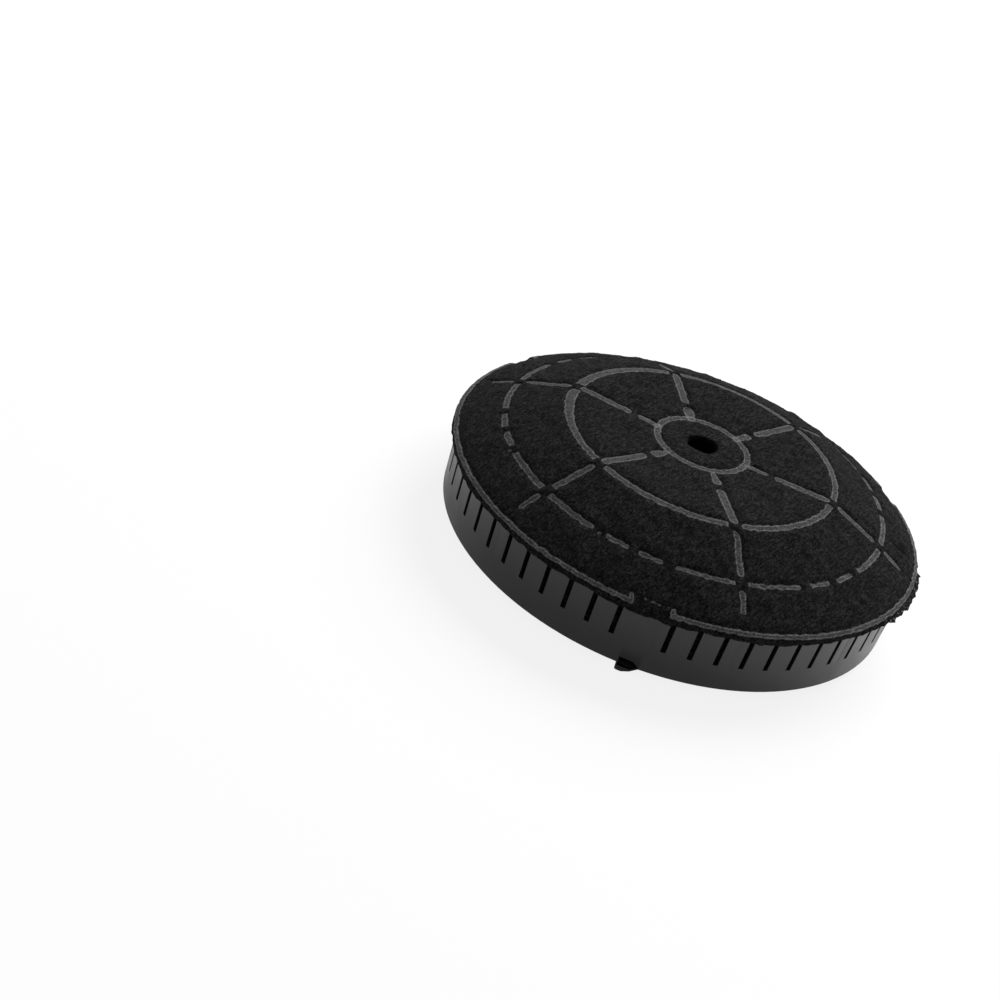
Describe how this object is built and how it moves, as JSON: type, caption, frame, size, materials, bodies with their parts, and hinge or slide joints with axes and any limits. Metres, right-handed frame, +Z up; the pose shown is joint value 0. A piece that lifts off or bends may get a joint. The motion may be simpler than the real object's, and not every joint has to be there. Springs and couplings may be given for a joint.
{
  "type": "cooker hood carbon filter",
  "caption": "Round drum-shaped air filter with a slotted black skirt, bayonet lugs, a carbon filling and a domed felt front welded along rings and spokes.",
  "frame": {"origin": "bottom centre, on the plane that the three lugs stand on", "axes": "+Z up along the middle bore towards the felt front; -Y through one lug"},
  "size_m": [0.2312, 0.2312, 0.0599],
  "materials": {
    "housing_plastic": "smooth satin black moulding",
    "frame_plastic": "smooth satin black moulding",
    "felt": "black needled felt, melted to a dull grey along the welds",
    "carbon": "loose activated carbon granules with a faint sparkle"
  },
  "bodies": {
    "root": {"housing": "housing_plastic", "front_frame": "frame_plastic", "front_felt": "felt", "carbon_filling": "carbon"}
  },
  "joints": []
}
